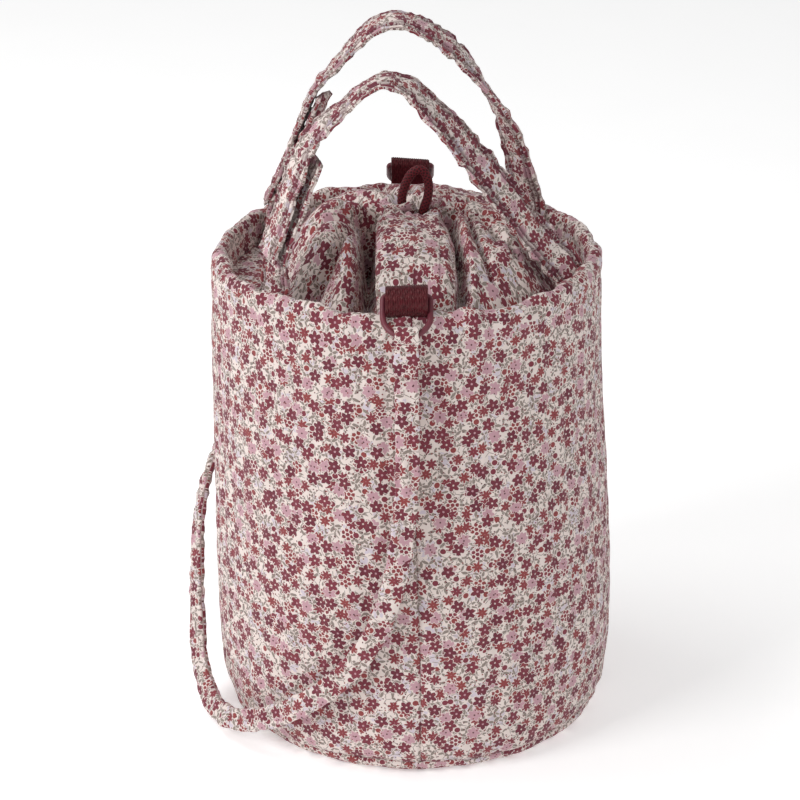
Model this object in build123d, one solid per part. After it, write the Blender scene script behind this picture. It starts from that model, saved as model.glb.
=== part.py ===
"""Knitting bag: a padded round bag with a drawstring collar, two snap handles and a shoulder strap.

Millimetres, +Z up. The origin is the centre of the base on the floor, the front is -Y and +X is
right. Each function builds one group of pieces, and the last section writes one STEP per node.
"""
import math
import os
from build123d import *

# ---- driving dimensions: padded body ----
BASE_FLAT_R = 117.0     # flat part of the base that meets the floor
SEAM_Z = 12.0           # height of the seam between base and wall
SEAM_R = 128.0
LOWER_WALL_R = 132.0    # on the way up to the widest radius
LOWER_WALL_Z = 42.0
BELLY_R = 132.9         # widest radius
BELLY_Z = 90.0
UPPER_WALL_R = 130.3    # on the way in to the rim
UPPER_WALL_Z = 190.0
RIM_SEAM_R = 125.8      # outer radius where the wall meets the rim
RIM_SEAM_Z = 310.0
RIM_TOP_Z = 320.0
WALL = 10.0             # wall thickness, cover and lining included
CLOTH = 1.0             # cover and lining fabric with its backing
BASE_CLOTH = 1.2
BASE_TURN_R = 124.6     # middle of the base's rounded edge
BASE_TURN_Z = 4.0
BASE_TURN_RISE = 0.8    # how far the rounded edge rises for each millimetre of inset
FLOOR_CLEARANCE = 0.1   # between the lining floor and the wall
PADDING_TOP_Z = 8.0     # base padding below the stiffening board
BOARD_T = 2.5
BOARD_R = 118.6

# ---- driving dimensions: drawstring collar ----
COLLAR_R = 115.7        # sewn edge against the lining
COLLAR_FOLD_R = 106.0
COLLAR_Z = 298.0
COLLAR_CROWN_R = 66.0   # middle of the collar's dome
COLLAR_CROWN_Z = 325.0
COLLAR_TOP_Z = 338.0
COLLAR_T = 2.0
HEM_R = 19.0            # gathered hem with the cord channel
HEM_HOLE_R = 9.0
HEM_LOW_Z = 334.0
HEM_TOP_Z = 345.0
HEM_ROUND = 2.0
CORD_R = 2.15
CORD_GAP = 0.3
CORD_RING_R = 14.0      # radius at which the cord runs round the gather
CORD_EXIT_ANGLE = 20.0  # each cord leg leaves the hem this far from the front
CORD_TAIL_Z = 300.0
CORD_TOP_Z = 378.0
CORD_NECK_Z = 352.0     # the loop's legs are upright below this height
CORD_WIDE_Z = 364.0     # and spread by this much at this height
CORD_SPREAD = 4.5
CORD_LOOP_RADII = (9.0, 6.0, 5.0, 6.0, 9.0)

# ---- driving dimensions: webbing tabs and D-rings ----
WEBBING_W = 24.0
WEBBING_T = 1.5
WIRE_R = 1.85
WIRE_GAP = 0.3          # between the wire and the webbing round it
RING_INNER_W = 25.2
RING_STRAIGHT = 14.5    # straight arm length before the round end
RING_CORNER_R = 3.0
TAB_FOOT_Z = 299.0
TAB_WAIST = 9.0         # the webbing's layers meet this far below the bar
TAB_FOOT_Y = 112.9      # middle of the sewn webbing, from the bag's axis
BAR_Y = 113.2           # ring bar, from the bag's axis
FRONT_BAR_X = -3.0
FRONT_BAR_Z = 330.0
REAR_BAR_X = 0.0
REAR_BAR_Z = 337.0
FRONT_RING_TILT = 54.0  # degrees outward from hanging straight down
REAR_RING_TILT = 45.0

# ---- driving dimensions: handles ----
PIVOT_Z = 330.0
HANDLE_W = 28.0
HANDLE_T = 5.0
LEG_GAP = 0.6           # between the strap and its stub
FREE_END = 16.0         # the strap's free end starts this far up the stub
STRAP_CORNER = 84.0     # first bend of the strap, measured along the stub
STUB_LENGTH = 74.0
STUB_FOOT_R = 11.0      # the stub's foot is also round about the axis it peels off about
FOOT_T = 6.0            # thickness of the folded fabric at the stub's foot
STRAP_FOOT_T = 8.0      # and at the strap's foot
SNAP_STATIONS = (34.0, 62.0)
SOCKET_R = 5.0          # snap sockets and stud bases
BACK_R = 4.5            # caps on the other face of the cloth
STUD_R = 3.0
SNAP_T = 2.0
CAP_T = 1.0
STUD_DEPTH = 1.5        # the stud's base is let into the stub this far
STUD_CLEARANCE = 0.4
ANCHOR_W = 26.0
ANCHOR_TOP_Z = 315.5
ANCHOR_FOOT_Z = 299.0
ANCHOR_R = 115.3
ANCHOR_INNER_R = 106.5

# ---- driving dimensions: shoulder strap ----
STRAP_W = 15.0
STRAP_LOOP_T = 2.2      # strap thickness where it folds round the ring
STRAP_TAIL_T = 4.4
STRAP_TAIL_Z = 288.0

FRONT_HANDLE = {
    "left": (-86.0, -68.0),
    "right": (94.0, -41.2),
    "lean": 18.0,
    "crown": ((74.0, 130.0),),
    "radii": (60.0, 24.0),
}
REAR_HANDLE = {
    "left": (-87.0, 64.0),
    "right": (78.0, 74.5),
    "lean": 21.0,
    "crown": ((66.0, 122.0), (92.0, 122.0), (143.0, 62.0)),
    "radii": (60.0, 18.0, 18.0, 40.0),
}
STRAP_ROUTE = (
    (-3.0, -136.8, 287.0),
    (-2.0, -140.5, 247.0),
    (-3.0, -142.0, 203.0),
    (-8.0, -142.5, 160.0),
    (-18.0, -141.5, 119.0),
    (-38.0, -137.0, 83.0),
    (-66.0, -126.0, 53.0),
    (-97.0, -105.0, 28.0),
    (-124.0, -77.0, 13.0),
    (-138.0, -44.0, 15.0),
    (-144.5, -18.0, 31.0),
    (-145.5, -3.0, 60.0),
    (-145.5, 6.0, 92.0),
    (-144.0, 20.0, 122.0),
    (-137.0, 44.0, 147.0),
    (-121.0, 73.0, 167.0),
    (-96.0, 103.0, 185.0),
    (-66.0, 124.5, 201.0),
    (-36.0, 137.0, 218.0),
    (-14.0, 140.5, 238.0),
    (-4.0, 138.5, 262.0),
    (0.0, 134.3, 286.0),
)
STRAP_SHORT_BEND = 0.45  # share of the shorter run that an arc takes

STRAP_FACE = HANDLE_T / 2 + LEG_GAP       # inner face of the strap, from the stub's middle
SOCKET_BOTTOM = STRAP_FACE + SNAP_T
SOCKET_BACK = SOCKET_BOTTOM + CAP_T
STUB_FACE = HANDLE_T / 2
STUD_FOOT = STUB_FACE - STUD_DEPTH
CUT = 0.2               # a cutter passes a face by this much


# ---- small geometry helpers ----
def up(radius, z):
    """A point of a round profile, drawn in the XZ plane."""
    return (radius, 0, z)


def revolved(edges, start=0.0, arc=360.0):
    """Revolve a closed outline in the XZ plane about the bag's axis."""
    return revolve(Rot(0, 0, start) * make_face(edges), Axis.Z, revolution_arc=arc)


def disc(radius, z0, z1):
    return Pos(0, 0, z0) * Cylinder(radius, z1 - z0, align=(Align.CENTER, Align.CENTER, Align.MIN))


# ---- padded body ----
def side_curve(inset):
    """The wall's outer profile moved towards the axis by inset."""
    seam = up(SEAM_R - inset, SEAM_Z)
    belly = up(BELLY_R - inset, BELLY_Z)
    head = up(RIM_SEAM_R - inset, RIM_SEAM_Z)
    lower = ThreePointArc(seam, up(LOWER_WALL_R - inset, LOWER_WALL_Z), belly)
    upper = ThreePointArc(belly, up(UPPER_WALL_R - inset, UPPER_WALL_Z), head)
    return [lower, upper]


def wall_layer(outer_inset, inner_inset, start=0.0, arc=360.0):
    """One layer of the round wall, between two insets from its outer face."""
    outer = side_curve(outer_inset)
    inner = side_curve(inner_inset)
    foot = Line(up(SEAM_R - inner_inset, SEAM_Z), up(SEAM_R - outer_inset, SEAM_Z))
    head = Line(up(RIM_SEAM_R - outer_inset, RIM_SEAM_Z), up(RIM_SEAM_R - inner_inset, RIM_SEAM_Z))
    return revolved(outer + inner + [foot, head], start, arc)


def base_curve(inset):
    """Rounded edge of the base, from the floor up to the seam."""
    turn = up(BASE_TURN_R - inset, BASE_TURN_Z + BASE_TURN_RISE * inset)
    return ThreePointArc(up(BASE_FLAT_R, inset * BASE_CLOTH), turn, up(SEAM_R - inset, SEAM_Z))


def base_panel():
    outer = base_curve(0)
    inner = base_curve(CLOTH)
    floor = Polyline(up(BASE_FLAT_R, BASE_CLOTH), up(0, BASE_CLOTH), up(0, 0), up(BASE_FLAT_R, 0))
    seam = Line(up(SEAM_R, SEAM_Z), up(SEAM_R - CLOTH, SEAM_Z))
    return revolved([outer, inner, floor, seam])


def base_padding():
    """Batting under the board, turned up at its edge to meet the wall's padding."""
    inner_r = SEAM_R - WALL + CLOTH
    top = Polyline(
        up(SEAM_R - CLOTH, SEAM_Z),
        up(inner_r, SEAM_Z),
        up(inner_r, PADDING_TOP_Z),
        up(0, PADDING_TOP_Z),
        up(0, BASE_CLOTH),
        up(BASE_FLAT_R, BASE_CLOTH),
    )
    return revolved([base_curve(CLOTH), top])


def base_board():
    return disc(BOARD_R, PADDING_TOP_Z, PADDING_TOP_Z + BOARD_T)


def lining_floor():
    return disc(SEAM_R - WALL + CLOTH - FLOOR_CLEARANCE, PADDING_TOP_Z + BOARD_T, SEAM_Z)


def rim_curve(inset):
    """The rim's rounded top, from the outside over to the inside."""
    middle = RIM_SEAM_R - WALL / 2
    half = WALL / 2 - inset
    shoulder_z = RIM_TOP_Z - WALL / 2
    outside = up(middle + half, shoulder_z)
    inside = up(middle - half, shoulder_z)
    outer = Line(up(middle + half, RIM_SEAM_Z), outside)
    crest = ThreePointArc(outside, up(middle, shoulder_z + half), inside)
    inner = Line(inside, up(middle - half, RIM_SEAM_Z))
    return [outer, crest, inner]


def rim_cover():
    feet = [
        Line(up(RIM_SEAM_R - CLOTH, RIM_SEAM_Z), up(RIM_SEAM_R, RIM_SEAM_Z)),
        Line(up(RIM_SEAM_R - WALL, RIM_SEAM_Z), up(RIM_SEAM_R - WALL + CLOTH, RIM_SEAM_Z)),
    ]
    return revolved(rim_curve(0) + rim_curve(CLOTH) + feet)


def rim_padding_half(start):
    foot = Line(up(RIM_SEAM_R - CLOTH, RIM_SEAM_Z), up(RIM_SEAM_R - WALL + CLOTH, RIM_SEAM_Z))
    return revolved(rim_curve(CLOTH) + [foot], start, 180.0)


# ---- drawstring collar ----
def collar_half(start):
    """Half of the gathered collar, from its sewn edge up to the hem."""
    def dome(drop):
        return ThreePointArc(
            up(COLLAR_FOLD_R, COLLAR_Z - drop),
            up(COLLAR_CROWN_R, COLLAR_CROWN_Z - drop),
            up(HEM_R, COLLAR_TOP_Z - drop),
        )

    hem_side = Line(up(HEM_R, COLLAR_TOP_Z), up(HEM_R, COLLAR_TOP_Z - COLLAR_T))
    sewn_edge = Polyline(
        up(COLLAR_FOLD_R, COLLAR_Z),
        up(COLLAR_R, COLLAR_Z),
        up(COLLAR_R, COLLAR_Z - COLLAR_T),
        up(COLLAR_FOLD_R, COLLAR_Z - COLLAR_T),
    )
    return revolved([dome(0), dome(COLLAR_T), hem_side, sewn_edge], start, 180.0)


def cord_leg_points():
    """The two places on the hem's front where the drawcord comes out, left then right."""
    angle = math.radians(CORD_EXIT_ANGLE)
    x = CORD_RING_R * math.sin(angle)
    y = -CORD_RING_R * math.cos(angle)
    return (-x, y), (x, y)


def cord_channel(radius, gap_angle):
    """Round channel in the hem, open over gap_angle each side of the front."""
    channel_z = (HEM_LOW_Z + HEM_TOP_Z) / 2
    section = Plane.XZ * Pos(CORD_RING_R, channel_z) * Circle(radius)
    ring = revolve(section, Axis.Z, revolution_arc=360.0 - 2 * gap_angle)
    return Rot(0, 0, gap_angle - 90.0) * ring


def collar_hem():
    hem = disc(HEM_R, HEM_LOW_Z, HEM_TOP_Z) - disc(HEM_HOLE_R, HEM_LOW_Z, HEM_TOP_Z)
    hem = fillet(hem.edges().filter_by(GeomType.CIRCLE), HEM_ROUND)
    hem -= cord_channel(CORD_R + CORD_GAP, CORD_EXIT_ANGLE)
    for x, y in cord_leg_points():
        hem -= Pos(x, y, 0) * disc(CORD_R + CORD_GAP, HEM_LOW_Z, HEM_TOP_Z)
    return hem


def drawcord_run():
    """The part of the drawcord that stays in its channel behind the exits."""
    clear = math.degrees(2 * (CORD_R + CORD_GAP) / CORD_RING_R)
    return cord_channel(CORD_R, CORD_EXIT_ANGLE + clear)


def drawcord_loop():
    """The pulled loop above the hem, with its two legs down through the exits."""
    (left_x, y), (right_x, _) = cord_leg_points()
    path = FilletPolyline(
        (left_x, y, CORD_TAIL_Z),
        (left_x, y, CORD_NECK_Z),
        (left_x - CORD_SPREAD, y, CORD_WIDE_Z),
        (0, y, CORD_TOP_Z),
        (right_x + CORD_SPREAD, y, CORD_WIDE_Z),
        (right_x, y, CORD_NECK_Z),
        (right_x, y, CORD_TAIL_Z),
        radius=CORD_LOOP_RADII,
    )
    return sweep(Pos(left_x, y, CORD_TAIL_Z) * Circle(CORD_R), path=path)


# ---- webbing tabs and D-rings ----
def d_ring(bar_x, bar_z, tilt, side):
    """Wire D-ring hung from its bar. side is -1 at the front and 1 at the rear."""
    arm_x = RING_INNER_W / 2 + WIRE_R
    bar_and_arms = FilletPolyline(
        (-arm_x, 0, -RING_STRAIGHT),
        (-arm_x, 0, 0),
        (arm_x, 0, 0),
        (arm_x, 0, -RING_STRAIGHT),
        radius=RING_CORNER_R,
    )
    round_end = ThreePointArc(
        (arm_x, 0, -RING_STRAIGHT), (0, 0, -RING_STRAIGHT - arm_x), (-arm_x, 0, -RING_STRAIGHT)
    )
    section = Pos(-arm_x, 0, -RING_STRAIGHT) * Circle(WIRE_R)
    ring = sweep(section, path=bar_and_arms) + sweep(section, path=round_end)
    return Pos(bar_x, side * BAR_Y, bar_z) * Rot(side * tilt, 0, 0) * ring


def tab(bar_x, bar_z, side):
    """Webbing folded over the ring's bar, its two layers sewn together below."""
    inner_r = WIRE_R + WIRE_GAP
    outer_r = inner_r + WEBBING_T
    waist_z = bar_z - TAB_WAIST
    loop = Pos(BAR_Y, bar_z) * Circle(outer_r)
    neck = make_hull(
        (Pos(BAR_Y, bar_z - CUT) * Circle(outer_r - CUT)).edges()
        + (Pos(TAB_FOOT_Y, waist_z) * Rectangle(2 * WEBBING_T, CUT)).edges()
    )
    legs = Pos(TAB_FOOT_Y, (waist_z + TAB_FOOT_Z) / 2) * Rectangle(2 * WEBBING_T, waist_z - TAB_FOOT_Z)
    eye = Pos(BAR_Y, bar_z) * Circle(inner_r)
    section = loop + neck + legs - eye
    solid = extrude(section, WEBBING_W / 2, both=True)
    upright = Plane(origin=(bar_x, 0, 0), x_dir=(0, side, 0), z_dir=(side, 0, 0))
    return upright * solid


def strap_end(bar_x, bar_z, tilt, side):
    """The shoulder strap's sewn end, folded round the ring's round end and hanging down."""
    bend_r = RING_INNER_W / 2 + WIRE_R
    reach = RING_STRAIGHT + bend_r
    half_w = STRAP_W / 2
    rise = bend_r - math.sqrt(bend_r**2 - half_w**2)
    out = math.sin(math.radians(tilt))
    down = math.cos(math.radians(tilt))
    wire = (BAR_Y + reach * out, bar_z - reach * down)
    inner_wire = (wire[0] - (rise + WIRE_GAP) * out, wire[1] + (rise + WIRE_GAP) * down)
    hole_r = WIRE_R + WIRE_GAP

    def slot(radius):
        return make_hull((Pos(*wire) * Circle(radius)).edges() + (Pos(*inner_wire) * Circle(radius)).edges())

    tail_top = wire[1] - hole_r - STRAP_LOOP_T / 2
    tail = Pos(wire[0], (tail_top + STRAP_TAIL_Z) / 2) * Rectangle(STRAP_TAIL_T, tail_top - STRAP_TAIL_Z)
    section = slot(hole_r + STRAP_LOOP_T) + tail - slot(hole_r)
    upright = Plane(origin=(bar_x, 0, 0), x_dir=(0, side, 0), z_dir=(side, 0, 0))
    return upright * extrude(section, half_w, both=True)


# ---- handles ----
def handle_frame(handle):
    """Plane through both pivots: X runs from the left pivot to the right one, Y points up."""
    (x0, y0), (x1, y1) = handle["left"], handle["right"]
    along = Vector(x1 - x0, y1 - y0, 0).normalized()
    return Plane(origin=(x0, y0, PIVOT_Z), x_dir=along, z_dir=along.cross(Vector(0, 0, 1)))


def span(handle):
    (x0, y0), (x1, y1) = handle["left"], handle["right"]
    return math.hypot(x1 - x0, y1 - y0)


def leg_directions(handle):
    """Unit vectors along the left leg and across it, towards the right."""
    lean = math.radians(handle["lean"])
    return Vector(math.sin(lean), math.cos(lean)), Vector(math.cos(lean), -math.sin(lean))


def hinge_end(x, length):
    """Round strap end about the fold axis, which runs along the local X axis."""
    return Pos(x, 0, 0) * Rot(0, 90, 0) * Cylinder(HANDLE_W / 2, length)


def on_leg(handle, station, inset, solid):
    """Place a solid, drawn along +Z, on the leg: station along it, pointing out to the left."""
    along, across = leg_directions(handle)
    place = along * station + across * inset
    return Plane(origin=(place.X, place.Y, 0), x_dir=(0, 0, 1), z_dir=(-across.X, -across.Y, 0)) * solid


def snap_disc(handle, radius, depth0, depth1):
    """One disc at each snap, from depth0 to depth1 measured out from the stub's middle."""
    part = Part()
    for station in SNAP_STATIONS:
        blank = Pos(0, 0, depth0) * Cylinder(
            radius, depth1 - depth0, align=(Align.CENTER, Align.CENTER, Align.MIN)
        )
        part += on_leg(handle, station, 0, blank)
    return part


def handle_strap(handle):
    along, across = leg_directions(handle)
    offset = across * -(HANDLE_T + LEG_GAP)
    start = along * FREE_END + offset
    corner = along * STRAP_CORNER + offset
    points = [(start.X, start.Y), (corner.X, corner.Y), *handle["crown"], (span(handle), 0)]
    path = FilletPolyline(*points, radius=handle["radii"])
    body = extrude(trace(path, HANDLE_T), HANDLE_W / 2, both=True)
    body += hinge_end(span(handle), STRAP_FOOT_T)
    body -= snap_disc(handle, SOCKET_R, STRAP_FACE - CUT, SOCKET_BOTTOM)
    body -= snap_disc(handle, BACK_R, SOCKET_BOTTOM - CUT, SOCKET_BACK)
    return handle_frame(handle) * body


def handle_stub(handle):
    along, _ = leg_directions(handle)
    path = Line((0, 0), (along.X * STUB_LENGTH, along.Y * STUB_LENGTH))
    body = extrude(trace(path, HANDLE_T), HANDLE_W / 2, both=True)
    body += hinge_end(0, FOOT_T) & Cylinder(STUB_FOOT_R, HANDLE_W)
    body -= snap_disc(handle, SOCKET_R, STUD_FOOT, STUB_FACE + CUT)
    body -= snap_disc(handle, BACK_R, STUD_FOOT - CAP_T, STUD_FOOT + CUT)
    return handle_frame(handle) * body


def snap_sockets(handle):
    body = snap_disc(handle, SOCKET_R, STRAP_FACE, SOCKET_BOTTOM)
    body -= snap_disc(handle, STUD_R + STUD_CLEARANCE, STRAP_FACE - CUT, SOCKET_BOTTOM + CUT)
    return handle_frame(handle) * body


def snap_socket_backs(handle):
    return handle_frame(handle) * snap_disc(handle, BACK_R, SOCKET_BOTTOM, SOCKET_BACK)


def snap_studs(handle):
    body = snap_disc(handle, SOCKET_R, STUD_FOOT, STUB_FACE)
    body += snap_disc(handle, STUD_R, STUB_FACE - CUT, SOCKET_BOTTOM - STUD_CLEARANCE)
    return handle_frame(handle) * body


def snap_stud_backs(handle):
    return handle_frame(handle) * snap_disc(handle, BACK_R, STUD_FOOT - CAP_T, STUD_FOOT)


def handle_anchor(pivot):
    """The end of a strap sewn down inside the rim, below the fold."""
    angle = math.degrees(math.atan2(pivot[1], pivot[0]))
    height = ANCHOR_TOP_Z - ANCHOR_FOOT_Z
    block = Pos(ANCHOR_INNER_R, 0, ANCHOR_FOOT_Z) * Box(
        ANCHOR_R - ANCHOR_INNER_R, ANCHOR_W, height, align=(Align.MIN, Align.CENTER, Align.MIN)
    )
    return Rot(0, 0, angle) * block & disc(ANCHOR_R, ANCHOR_FOOT_Z, ANCHOR_TOP_Z)


# ---- shoulder strap ----
def route_radii(points):
    """Largest arc for each corner that its two runs allow."""
    radii = []
    for before, here, after in zip(points, points[1:], points[2:]):
        first = Vector(*here) - Vector(*before)
        second = Vector(*after) - Vector(*here)
        half_turn = math.radians(first.get_angle(second)) / 2
        radii.append(STRAP_SHORT_BEND * min(first.length, second.length) / math.tan(half_turn))
    return radii


def shoulder_strap():
    radii = route_radii(STRAP_ROUTE)
    print("strap bend radii", [round(radius) for radius in radii])
    path = FilletPolyline(*STRAP_ROUTE, radius=tuple(radii))
    section = Plane(origin=path @ 0, z_dir=path % 0) * Circle(STRAP_W / 2)
    strap = sweep(section, path=path)
    print("strap length", round(path.length, 1), "volume", round(strap.volume))
    print("section times length", round(math.pi * (STRAP_W / 2) ** 2 * path.length))
    return strap


# ---- all the nodes ----
NODES = {
    "outer_wall_left": wall_layer(0, CLOTH, 90.0, 180.0),
    "outer_wall_right": wall_layer(0, CLOTH, -90.0, 180.0),
    "lining_wall": wall_layer(WALL - CLOTH, WALL),
    "base_panel": base_panel(),
    "base_padding": base_padding(),
    "base_board": base_board(),
    "lining_floor": lining_floor(),
    "rim_cover": rim_cover(),
    "rim_padding_left": rim_padding_half(90.0),
    "rim_padding_right": rim_padding_half(-90.0),
    "collar_left": collar_half(90.0),
    "collar_right": collar_half(-90.0),
    "collar_hem": collar_hem(),
    "drawcord_run": drawcord_run(),
    "drawcord_loop": drawcord_loop(),
    "front_tab": tab(FRONT_BAR_X, FRONT_BAR_Z, -1),
    "rear_tab": tab(REAR_BAR_X, REAR_BAR_Z, 1),
    "front_ring": d_ring(FRONT_BAR_X, FRONT_BAR_Z, FRONT_RING_TILT, -1),
    "rear_ring": d_ring(REAR_BAR_X, REAR_BAR_Z, REAR_RING_TILT, 1),
    "strap_front_end": strap_end(FRONT_BAR_X, FRONT_BAR_Z, FRONT_RING_TILT, -1),
    "strap_rear_end": strap_end(REAR_BAR_X, REAR_BAR_Z, REAR_RING_TILT, 1),
    "shoulder_strap": shoulder_strap(),
}
for number, quarter in enumerate(("rear_right", "rear_left", "front_left", "front_right")):
    NODES["wall_padding_" + quarter] = wall_layer(CLOTH, WALL - CLOTH, number * 90.0, 90.0)
for side, handle in (("front", FRONT_HANDLE), ("rear", REAR_HANDLE)):
    NODES[side + "_handle_strap"] = handle_strap(handle)
    NODES[side + "_handle_stub"] = handle_stub(handle)
    NODES[side + "_snap_sockets"] = snap_sockets(handle)
    NODES[side + "_snap_socket_backs"] = snap_socket_backs(handle)
    NODES[side + "_snap_studs"] = snap_studs(handle)
    NODES[side + "_snap_stud_backs"] = snap_stud_backs(handle)
    for end in ("left", "right"):
        NODES[side + "_" + end + "_anchor"] = handle_anchor(handle[end])

os.makedirs("parts", exist_ok=True)
for name, shape in NODES.items():
    export_step(shape, "parts/" + name + ".step")
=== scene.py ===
"""Knitting bag: quilted printed cotton, a gathered collar, padded handles, webbing and cords."""

import math
import bmesh
import bpy
import numpy as np
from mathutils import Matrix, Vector


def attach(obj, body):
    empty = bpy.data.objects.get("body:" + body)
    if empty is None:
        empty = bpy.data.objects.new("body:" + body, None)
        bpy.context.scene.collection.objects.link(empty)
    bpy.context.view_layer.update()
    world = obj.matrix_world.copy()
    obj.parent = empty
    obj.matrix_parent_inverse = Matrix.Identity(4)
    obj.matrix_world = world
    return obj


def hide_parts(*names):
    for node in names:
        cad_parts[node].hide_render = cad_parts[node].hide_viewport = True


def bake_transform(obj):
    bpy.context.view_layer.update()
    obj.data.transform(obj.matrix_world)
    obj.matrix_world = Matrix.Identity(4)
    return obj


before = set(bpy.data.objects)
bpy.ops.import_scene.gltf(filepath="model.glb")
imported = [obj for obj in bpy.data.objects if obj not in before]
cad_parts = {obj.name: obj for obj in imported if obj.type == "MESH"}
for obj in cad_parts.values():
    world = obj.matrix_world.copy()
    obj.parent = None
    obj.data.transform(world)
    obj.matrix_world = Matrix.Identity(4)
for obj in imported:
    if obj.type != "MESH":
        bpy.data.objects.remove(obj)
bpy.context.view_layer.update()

MM = 0.001
FULL_TURN = 2.0 * math.pi
WAVES = 7               # sine waves in one field of random ripples
FINE_POINTS = 40        # points that stand for each span of a curve before it is evened out


# ---- numbers and curves ----
def ramp(value, low, high):
    """Smooth step from 0 at low to 1 at high."""
    t = np.clip((value - low) / (high - low), 0.0, 1.0)
    return t * t * (3.0 - 2.0 * t)


def ripples(seed, wavelength, *coords):
    """Soft random ripples of about one unit, repeatable for a seed."""
    rng = np.random.default_rng(seed)
    total = 0.0
    for _ in range(WAVES):
        direction = rng.normal(size=len(coords))
        direction /= np.linalg.norm(direction)
        step = FULL_TURN / (wavelength * rng.uniform(0.7, 1.5))
        phase = rng.uniform(0.0, FULL_TURN)
        total = total + np.sin(step * sum(d * c for d, c in zip(direction, coords)) + phase)
    return total / math.sqrt(WAVES)


def through(points, places):
    """Smooth curve through (place, value) points, read at places."""
    points = np.array(points, dtype=float)
    place, value = points[:, 0], points[:, 1]
    slope = np.gradient(value, place)
    i = np.clip(np.searchsorted(place, places) - 1, 0, len(place) - 2)
    width = place[i + 1] - place[i]
    t = np.clip((places - place[i]) / width, 0.0, 1.0)
    a = (2 * t**3 - 3 * t**2 + 1) * value[i] + (t**3 - 2 * t**2 + t) * width * slope[i]
    b = (3 * t**2 - 2 * t**3) * value[i + 1] + (t**3 - t**2) * width * slope[i + 1]
    return a + b


def run_along(points):
    """Length of a line of points up to each of them."""
    return np.concatenate([[0.0], np.cumsum(np.linalg.norm(np.diff(points, axis=0), axis=1))])


def even_points(places, step, least=1):
    """The same line with points step apart, and at least that many spans."""
    length = run_along(places)
    even = np.linspace(0.0, length[-1], max(int(length[-1] / step), least) + 1)
    return np.stack([np.interp(even, length, places[:, k]) for k in range(3)], axis=1)


def smooth_path(points, step):
    """Even points, step apart, on a smooth curve through the given ones."""
    points = np.array(points, dtype=float)
    chord = run_along(points)
    fine = np.linspace(0.0, chord[-1], FINE_POINTS * len(points))
    dense = np.stack([through(np.column_stack([chord, points[:, k]]), fine) for k in range(3)], axis=1)
    return even_points(dense, step, least=3)


def unit(vectors):
    return vectors / np.linalg.norm(vectors, axis=-1, keepdims=True)


def hump(away, width=1.0):
    """1 at no distance, falling smoothly to 0 past the width."""
    return np.exp(-((away / width) ** 2))


def all_round(count):
    """Angles of count places round a circle."""
    return np.linspace(0.0, FULL_TURN, count, endpoint=False)


# ---- meshes ----
def face_outward(mesh, weld=0.0):
    """Turn the faces outward, after joining points that lie closer than weld."""
    shape = bmesh.new()
    shape.from_mesh(mesh)
    if weld:
        bmesh.ops.remove_doubles(shape, verts=shape.verts, dist=weld)
    bmesh.ops.recalc_face_normals(shape, faces=shape.faces)
    shape.to_mesh(mesh)
    shape.free()


def loft(name, rings, uv, material, caps=True, closed=False):
    """Skin through rings of points, in millimetres.

    rings is (stations, around, 3) and uv is (stations, around + 1, 2), with one more station where closed.
    """
    stations, around, _ = rings.shape
    spans = stations if closed else stations - 1
    rows = np.arange(spans)[:, None]
    cols = np.arange(around)[None, :]
    below = rows * around
    above = ((rows + 1) % stations) * around
    right = (cols + 1) % around
    quads = np.stack([below + cols, below + right, above + right, above + cols], axis=-1).reshape(-1, 4)
    faces = quads.tolist()
    corners = [uv[rows, cols], uv[rows, cols + 1], uv[rows + 1, cols + 1], uv[rows + 1, cols]]
    corners = np.stack(corners, axis=2)
    corner_uv = corners.reshape(-1, 2)
    if caps and not closed:
        faces.append(list(range(around)))
        faces.append(list(range((stations - 1) * around, stations * around)))
        corner_uv = np.concatenate([corner_uv, uv[0, :around], uv[-1, :around]])
    mesh = bpy.data.meshes.new(name)
    mesh.from_pydata((rings.reshape(-1, 3) * MM).tolist(), [], faces)
    layer = mesh.uv_layers.new(name="cloth")
    layer.data.foreach_set("uv", (corner_uv * MM).ravel())
    face_outward(mesh)
    mesh.shade_smooth()
    mesh.materials.append(material)
    piece = bpy.data.objects.new(name, mesh)
    bpy.context.scene.collection.objects.link(piece)
    return piece


def mark_painted_seam_shade(piece, amount):
    """Store how near each point is to a seam, from 0 to 1, for the print's material, which darkens it there
    as painted shade in the groove.
    """
    marks = piece.data.attributes.new("seam", "FLOAT", "POINT")
    marks.data.foreach_set("value", np.asarray(amount, dtype=float).ravel())


def apply_modifiers(piece):
    """Replace the piece's mesh with its evaluated one, so no modifier is left on it."""
    graph = bpy.context.evaluated_depsgraph_get()
    mesh = bpy.data.meshes.new_from_object(piece.evaluated_get(graph))
    piece.modifiers.clear()
    piece.data = mesh


# ---- colours and shader building ----
def srgb(red, green, blue):
    """Linear colour from 0 to 255 display values."""
    channels = []
    for value in (red, green, blue):
        part = value / 255.0
        channels.append(part / 12.92 if part <= 0.04045 else ((part + 0.055) / 1.055) ** 2.4)
    return (*channels, 1.0)


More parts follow.
